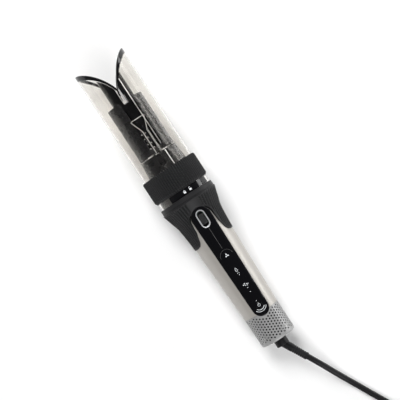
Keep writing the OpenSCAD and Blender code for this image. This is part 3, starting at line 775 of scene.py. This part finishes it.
halves.append(turned([(0, COLUMN_JOIN), (COLUMN_R, COLUMN_JOIN), (COLUMN_R, COLUMN_LOW),
                      (0, COLUMN_LOW)]))
piece("spindle_column_shape", merged(*halves), "column_black", "spindle", "spindle_column",
      sharp=30)

# Painted highlight: a white strip, a little proud of the column, where a sharp line of light runs
# down it
HIGHLIGHT_TURN = math.asin(8.3 / COLUMN_R) - math.radians(4.5)
column_highlight = loft([[at(COLUMN_R + 0.02 + 0.14 * math.cos(a * 1.4), HIGHLIGHT_TURN + a * 0.034, z)
               for a in np.linspace(-1.1, 1.1, 7)] + [at(COLUMN_R - 0.6, HIGHLIGHT_TURN + 0.03, z),
                                                      at(COLUMN_R - 0.6, HIGHLIGHT_TURN - 0.03, z)]
              for z in (224.5, 303)], caps=True)
piece("column_highlight_strip", column_highlight, "led_white", "spindle")

CONE_LOW, CONE_HIGH = 200.2, 219
cone_slot = pill(-2.3, 212.2, 5.8, 13.4)


def cone_r(z):
    return 20 + (CONE_HIGH - z) / (CONE_HIGH - CONE_LOW) * 1.8


front = [(21.5 * math.sin(t), z) for t, z in
         [(t, CONE_LOW) for t in np.linspace(-0.9, 0.9, 60)]
         + [(t, CONE_HIGH) for t in np.linspace(0.9, -0.9, 60)]]
front_plate = shell([(p[0] * cone_r(p[1]) / 21.5, p[1]) for p in front], [cone_slot],
                    lambda x, z: on_radius(x, z, cone_r(z)),
                    lambda x, z: on_radius(x, z, cone_r(z) - 1.7), step=1.4)
side_deg = math.degrees(0.9)
back_plate = turned([(21.8, CONE_LOW), (20, CONE_HIGH), (18.3, CONE_HIGH), (20.1, CONE_LOW)],
                    first=side_deg, last=360 - side_deg)
lid = turned([(20, CONE_HIGH), (8.05, CONE_HIGH), (8.05, CONE_HIGH - 1.4),
              (18.6, CONE_HIGH - 1.4)])
foot = turned([(25.9, 200.2), (25.9, 201.4), (20.5, 201.4), (20.5, 200.2)], 0.3)
# Painted shade: a dark wall behind the slot, in front of the bearing, so the slot reads black
slot_shade = turned([(16, 201), (16.5, 201), (16.5, 218.5), (16, 218.5)], first=-40, last=30)
piece("base_cone_shape", merged(front_plate, back_plate, lid, foot, slot_shade), "barrel_black",
      "handle", "base_cone")
# Painted highlight: a thin white strip on the base cone, in line with the column's, where the
# same line of light falls
cone_highlight_x = 8.3 - 20.5 * math.sin(math.radians(4.5))
rib = shell([(cone_highlight_x - 0.35, 202), (cone_highlight_x + 0.35, 202), (cone_highlight_x + 0.35, 218.6),
             (cone_highlight_x - 0.35, 218.6)], [], lambda x, z: on_radius(x, z, cone_r(z) + 0.25),
            lambda x, z: on_radius(x, z, cone_r(z) - 0.2))
piece("base_highlight_strip", rib, "led_white", "handle")

FLANGE_R, GUIDE_R, GUIDE_T = 20.6, 21.5, 1.3
piece("guide_flange", turned([(8.6, 219.05), (FLANGE_R, 219.05), (FLANGE_R, 220.6),
                              (8.6, 220.6)], 0.35), "clear", "handle", "hair_guide")
strips = []
for side in (1, -1):
    line = [(2, 219.2), (3.6, 219.2), (3.6, 245), (8.5, 259.2), (6.9, 259.2), (2, 245.5)]
    plates = [[(side * x, z) for x, z in dense(line + line[:1], 1)]]
    for z in (226, 231, 237, 242):
        x0 = 3.4 if side > 0 else -6
        plates.append([(x0, z), (x0 + 2.6, z), (x0 + 2.6, z + 1.1), (x0, z + 1.1)])
    strips += [shell(p, [], lambda x, z: on_radius(x, z, GUIDE_R),
                     lambda x, z: on_radius(x, z, GUIDE_R - GUIDE_T)) for p in plates]
piece("guide_strips", merged(*strips), "clear", "handle")
# Painted highlights: grey strips where the clear guide's edges catch the light, and dots where
# its comb teeth do
edges = []
for line, width in [([(-2.4, 219.6), (-2.4, 245.3), (-7.4, 258.9)], 0.4),
                    ([(2.3, 219.6), (2.3, 245.3)], 0.25), ([(3.2, 219.6), (3.2, 245.3)], 0.25),
                    ([(2.9, 245.3), (8, 258.9)], 0.4), ([(-6.6, 259), (7.8, 259)], 0.4)]:
    edge = stroke(dense(line, 0.8) + [line[-1]], width)[0]
    edges.append(shell(edge, [], lambda x, z: on_radius(x, z, GUIDE_R + 0.12),
                       lambda x, z: on_radius(x, z, GUIDE_R - 0.4)))
for z in (226.6, 231.6, 237.6, 242.6):
    for x in (-4.8, -1.0):
        edges.append(shell(circle(x, z, 0.42, 10), [], lambda x, z: on_radius(x, z, GUIDE_R),
                           lambda x, z: on_radius(x, z, GUIDE_R - 0.6)))
guide_edge_glints = piece("guide_edge_glints", merged(*edges), "clear", "handle")
# Flat grey that paints the glints of the guide's edges
guide_edge_glints.data.materials[0] = finish("guide_edge_glint", (0.62, 0.62, 0.62), 0.25)

# Swivel, strain relief, cord, coil and plug

piece("swivel_shape", turned([(0, -8.5), (6.8, -8.5), (6.8, 3.5), (5.25, 3.5), (5.25, 15.5),
                              (0, 15.5)], 0.7), "dark_plastic", "cord_swivel", "swivel_body")
LEAN = math.radians(27)
out = np.array([math.sin(LEAN), 0, -math.cos(LEAN)])
across = np.array([math.cos(LEAN), 0, math.sin(LEAN)])
up = np.array([0, 1, 0])
start = np.array([2, 0, -9.2])
loops = []
for s in np.linspace(-3, 25, 113):
    r = 4.25 - 0.5 * max(0, s) / 25
    if 8 < s < 23.4:
        r -= 0.35 * (0.5 - 0.5 * math.cos(2 * math.pi * (s - 8) / 2.2))
    loops.append([start + out * s + r * (across * math.cos(a) + up * math.sin(a))
                  for a in np.linspace(0, 2 * math.pi, 33)[:-1]])
piece("strain_relief_shape", loft(loops, caps=True), "cord_black", "cord_swivel",
      "strain_relief", sharp=60)

# The cord's route in metres, as in the CAD
LEAD = [(0.0136, -0.1787, 0.0166), (0.018, -0.1873, 0.0158), (0.0225, -0.196, 0.0132),
        (0.027, -0.205, 0.0094), (0.0316, -0.214, 0.0058), (0.036, -0.2227, 0.0037),
        (0.0405, -0.2313, 0.003), (0.046, -0.2423, 0.003), (0.052, -0.254, 0.003),
        (0.058, -0.2658, 0.003), (0.064, -0.2776, 0.003), (0.0697, -0.2885, 0.003),
        (0.0777, -0.3043, 0.003)]
TAIL = [(0.043, -0.361, 0.003), (0.035, -0.361, 0.003), (0.027, -0.3606, 0.0034),
        (0.019, -0.36, 0.0052), (0.011, -0.3594, 0.0082), (0.003, -0.359, 0.0108),
        (-0.004, -0.359, 0.012)]
COIL_AT = (0.043, -0.322)
CORD_D = 0.006
# Places of the turns in the bundle, [radius, height], and where the cord passes from
# each one to the next
PLACES = [(39, 3), (33, 3), (27, 3), (30, 8.2), (27, 13.4), (33, 13.4), (39, 13.4),
          (36, 8.2), (39, 3)]
PASS_FROM, PASS_TO = -2, -62
start_angle = math.degrees(math.atan2(LEAD[-1][1] - COIL_AT[1], LEAD[-1][0] - COIL_AT[0]))
coil = []
angle = start_angle
end_angle = -90 - 360 * 7
while angle > end_angle:
    turn = (PASS_FROM - angle) / 360
    place = min(max(int(math.floor(turn)) + 1, 0), 8)
    part = fade((turn - math.floor(turn)) * 360, 0, PASS_FROM - PASS_TO)
    before, after = PLACES[max(place - 1, 0)], PLACES[place]
    mix = part if turn >= 0 else 1
    r, z = (np.array(before) * (1 - mix) + np.array(after) * mix) * MM
    a = math.radians(angle)
    coil.append((COIL_AT[0] + r * math.cos(a), COIL_AT[1] + r * math.sin(a), z))
    angle -= 6


def even(path, step):
    """The same route as a smooth curve with even steps."""
    path = np.array(path)
    ends = np.vstack([2 * path[0] - path[1], path, 2 * path[-1] - path[-2]])
    dense = []
    for i in range(1, len(ends) - 2):
        p0, p1, p2, p3 = ends[i - 1:i + 3]
        for t in np.linspace(0, 1, 9)[:-1]:
            dense.append(0.5 * (2 * p1 + (p2 - p0) * t + (2 * p0 - 5 * p1 + 4 * p2 - p3) * t * t
                                + (3 * p1 - p0 - 3 * p2 + p3) * t ** 3))
    dense = np.array(dense + [ends[-2]])
    run = np.concatenate([[0], np.cumsum(np.linalg.norm(np.diff(dense, axis=0), axis=1))])
    marks = np.linspace(0, run[-1], max(2, int(run[-1] / step)))
    return np.column_stack([np.interp(marks, run, dense[:, k]) for k in range(3)]), run[-1]


def hose(path, radius, sides=14):
    """A tube along a path, with its rings turned as little as possible."""
    way = np.gradient(path, axis=0)
    way /= np.linalg.norm(way, axis=1)[:, None]
    side = np.cross(way[0], [0, 0, 1])
    loops = []
    for p, d in zip(path, way):
        side = side - d * (side @ d)
        side /= np.linalg.norm(side)
        over = np.cross(side, d)
        loops.append([p + radius * (side * math.cos(a) + over * math.sin(a))
                      for a in np.linspace(0, 2 * math.pi, sides + 1)[:-1]])
    return loft(loops, caps=True)


lead_in = laid([start + out * 22])[0]
route = [tuple(lead_in)] + LEAD + coil[1:] + TAIL
cord_path, cord_length = even(route, 0.0025)
cord = piece("cord", hose(cord_path, CORD_D / 2), "cord_black", None, "cord_lead", "cord_coil",
             "cord_tail", in_row_frame=True)

COIL_R, COIL_W, COIL_H = 33, 18, 17
strap = []
for a in np.radians(20 + np.linspace(-7.8, 7.8, 9)):
    outer_in, outer_out = COIL_R - COIL_W / 2 - 1, COIL_R + COIL_W / 2 + 1
    section = [(outer_in, 0.05), (outer_in, COIL_H - 1), (outer_in + 2, COIL_H + 0.9),
               (outer_out - 2, COIL_H + 0.9), (outer_out, COIL_H - 1), (outer_out, 0.05),
               (outer_out - 0.9, 0.05), (outer_out - 0.9, COIL_H - 1.4),
               (outer_out - 2.4, COIL_H), (outer_in + 2.4, COIL_H),
               (outer_in + 0.9, COIL_H - 1.4), (outer_in + 0.9, 0.05)]
    strap.append([(COIL_AT[0] + r * MM * math.cos(a), COIL_AT[1] + r * MM * math.sin(a), z * MM)
                  for r, z in section])
tie = piece("coil_strap", loft(strap, caps=True), "dark_plastic", "handle", "coil_tie",
            in_row_frame=True)

PLUG = (-0.003, -0.359, 0.012)


def plug_loop(back, width, height):
    """Cross-section of the plug, as far behind its cable end as back."""
    r = height / 2
    flat = width / 2 - r
    ring = [(flat + r * math.cos(a), r * math.sin(a)) for a in np.radians(range(-90, 91, 10))]
    ring += [(-x, -z) for x, z in ring]
    return [(PLUG[0] - back * MM, PLUG[1] + y * MM, PLUG[2] + z * MM) for y, z in ring]


plug = piece("plug_shape", loft([plug_loop(*p) for p in [
    (0, 8, 7.9), (3, 9.5, 9.4), (3.4, 9, 8.9), (4.4, 9, 8.9), (4.8, 10.5, 10.4),
    (7, 12.5, 12.3), (11, 18, 15.5), (14, 26, 19.5), (17, 32.5, 22.6), (20, 34.6, 23.7),
    (24, 35, 24), (34.6, 35, 24), (35.5, 34.5, 23.6), (36, 33.4, 22.4)]], caps=True),
             "cord_black", "handle", "plug_body", in_row_frame=True)
pins = []
for y in (-9.5, 9.5):
    pins.append(loft([[(PLUG[0] - back * MM, PLUG[1] + (y + r * math.cos(a)) * MM,
                        PLUG[2] + r * math.sin(a) * MM)
                       for a in np.linspace(0, 2 * math.pi, 33)[:-1]]
                      for back, r in [(35.5, 2.4), (53.6, 2.4), (54.6, 2.0), (55, 1.2)]],
                     caps=True))
pins = piece("plug_pins_shape", merged(*pins), "pin_nickel", "handle", "plug_pins",
             in_row_frame=True)
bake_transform(cord)

# Floor, light and camera

FLOOR_R, FLOOR_SIDES = 1.6, 96
floor_mesh = bpy.data.meshes.new("floor")
floor_mesh.from_pydata([(x, y, 0) for x, y in circle(0, 0, FLOOR_R, FLOOR_SIDES)], [],
                       [tuple(range(FLOOR_SIDES))])
floor = bpy.data.objects.new("floor", floor_mesh)
floor.location.z = -0.0002
bpy.context.scene.collection.objects.link(floor)
floor_mesh.materials.append(finish("floor_white", (0.93, 0.93, 0.93), 0.65))

# Grey levels of the sky that lights the tool, and of the backdrop that the camera sees
HORIZON, ZENITH, BACKDROP = 0.24, 0.06, 0.8
world = bpy.data.worlds.new("studio")
bpy.context.scene.world = world
world.use_nodes = True
sky_nodes, sky_links = world.node_tree.nodes, world.node_tree.links
direction = sky_nodes.new("ShaderNodeTexCoord")
split = sky_nodes.new("ShaderNodeSeparateXYZ")
ramp = sky_nodes.new("ShaderNodeValToRGB")
ramp.color_ramp.elements[0].color = (HORIZON, HORIZON, HORIZON, 1)
ramp.color_ramp.elements[1].color = (ZENITH, ZENITH, ZENITH, 1)
ramp.color_ramp.elements[1].position = 0.75
sky_links.new(direction.outputs["Generated"], split.inputs["Vector"])
sky_links.new(split.outputs["Z"], ramp.inputs["Fac"])
sky_links.new(ramp.outputs["Color"], sky_nodes["Background"].inputs["Color"])
backdrop = sky_nodes.new("ShaderNodeBackground")
backdrop.inputs["Color"].default_value = (BACKDROP, BACKDROP, BACKDROP, 1)
seen = sky_nodes.new("ShaderNodeLightPath")
choose = sky_nodes.new("ShaderNodeMixShader")
sky_links.new(seen.outputs["Is Camera Ray"], choose.inputs["Fac"])
sky_links.new(sky_nodes["Background"].outputs["Background"], choose.inputs[1])
sky_links.new(backdrop.outputs["Background"], choose.inputs[2])
sky_links.new(choose.outputs["Shader"], sky_nodes["World Output"].inputs["Surface"])

VIEW_TURN = math.radians(4.5)
VIEW_ROLL = math.radians(33.3)
DISTANCE = 1.3
right = TOOL @ np.array([math.cos(VIEW_TURN), -math.sin(VIEW_TURN), 0])
back = TOOL @ np.array([-math.sin(VIEW_TURN), -math.cos(VIEW_TURN), 0])
aim = laid([[0, 0, 158]])[0] + right * 9.6 * MM


def lamp(name, sideways, along, toward, width, height, power):
    """A softbox. Its place is in metres from the aim: image right, tool axis, camera."""
    data = bpy.data.lights.new(name, "AREA")
    data.shape = "RECTANGLE"
    data.size, data.size_y = width, height
    data.energy = power
    made = bpy.data.objects.new(name, data)
    place = Vector(aim + right * sideways + AXIS * along + back * toward)
    look = Vector(aim) - place
    turn = Vector(AXIS)
    z = -look.normalized()
    y = (turn - z * turn.dot(z)).normalized()
    x = y.cross(z)
    made.matrix_world = Matrix([[x[i], y[i], z[i], place[i]] for i in range(3)] + [[0, 0, 0, 1]])
    bpy.context.scene.collection.objects.link(made)
    return made


lamp("right", 0.95, 0.05, 0.13, 0.32, 1.2, 5)
lamp("beyond_tip", 0, 1.8, 1.7, 1.5, 1.5, 56)
lamp("beyond_cord", 0, -1.9, 1.7, 1.5, 1.5, 46)

bpy.context.scene.view_settings.view_transform = "Standard"
camera_data = bpy.data.cameras.new("camera")
camera_data.sensor_width = 36
camera_data.lens = 117
camera = bpy.data.objects.new("camera", camera_data)
image_right = right * math.cos(VIEW_ROLL) - AXIS * math.sin(VIEW_ROLL)
image_up = right * math.sin(VIEW_ROLL) + AXIS * math.cos(VIEW_ROLL)
place = aim + back * DISTANCE
camera.matrix_world = Matrix([[image_right[i], image_up[i], back[i], place[i]]
                              for i in range(3)] + [[0, 0, 0, 1]])
bpy.context.scene.collection.objects.link(camera)
bpy.context.scene.camera = camera
